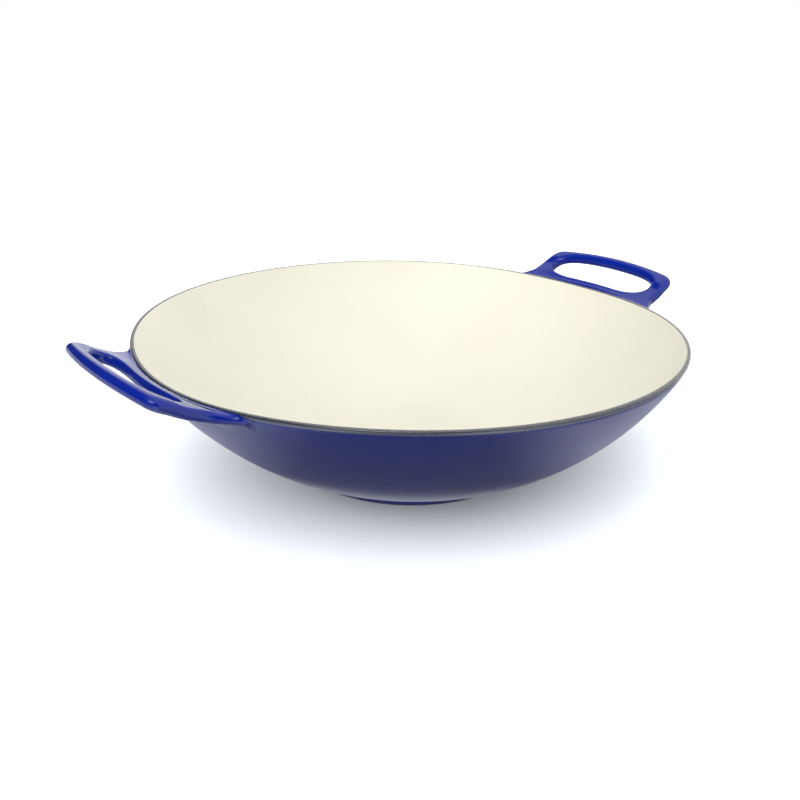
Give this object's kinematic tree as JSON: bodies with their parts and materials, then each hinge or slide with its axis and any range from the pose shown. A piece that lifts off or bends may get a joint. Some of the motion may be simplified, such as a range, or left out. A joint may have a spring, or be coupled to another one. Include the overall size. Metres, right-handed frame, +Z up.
{
  "type": "grilling wok",
  "caption": "Shallow round wok of enamelled cast iron on a foot ring, with an upswept loop handle at each side of the rim.",
  "frame": {"origin": "centre of the foot ring, on the surface that the wok stands on", "axes": "+Z up, X through the two handles, Y across the bowl"},
  "size_m": [0.4346, 0.36, 0.11],
  "materials": {
    "iron": "ground cast iron",
    "cream_enamel": "gloss",
    "blue_enamel": "gloss",
    "rim_enamel": "matt, slightly grainy"
  },
  "bodies": {
    "root": {"iron_casting": "iron", "interior_enamel": "cream_enamel", "exterior_enamel": "blue_enamel", "underside_enamel": "blue_enamel", "rim_enamel": "rim_enamel", "right_handle_enamel": "blue_enamel", "left_handle_enamel": "blue_enamel"}
  },
  "joints": []
}
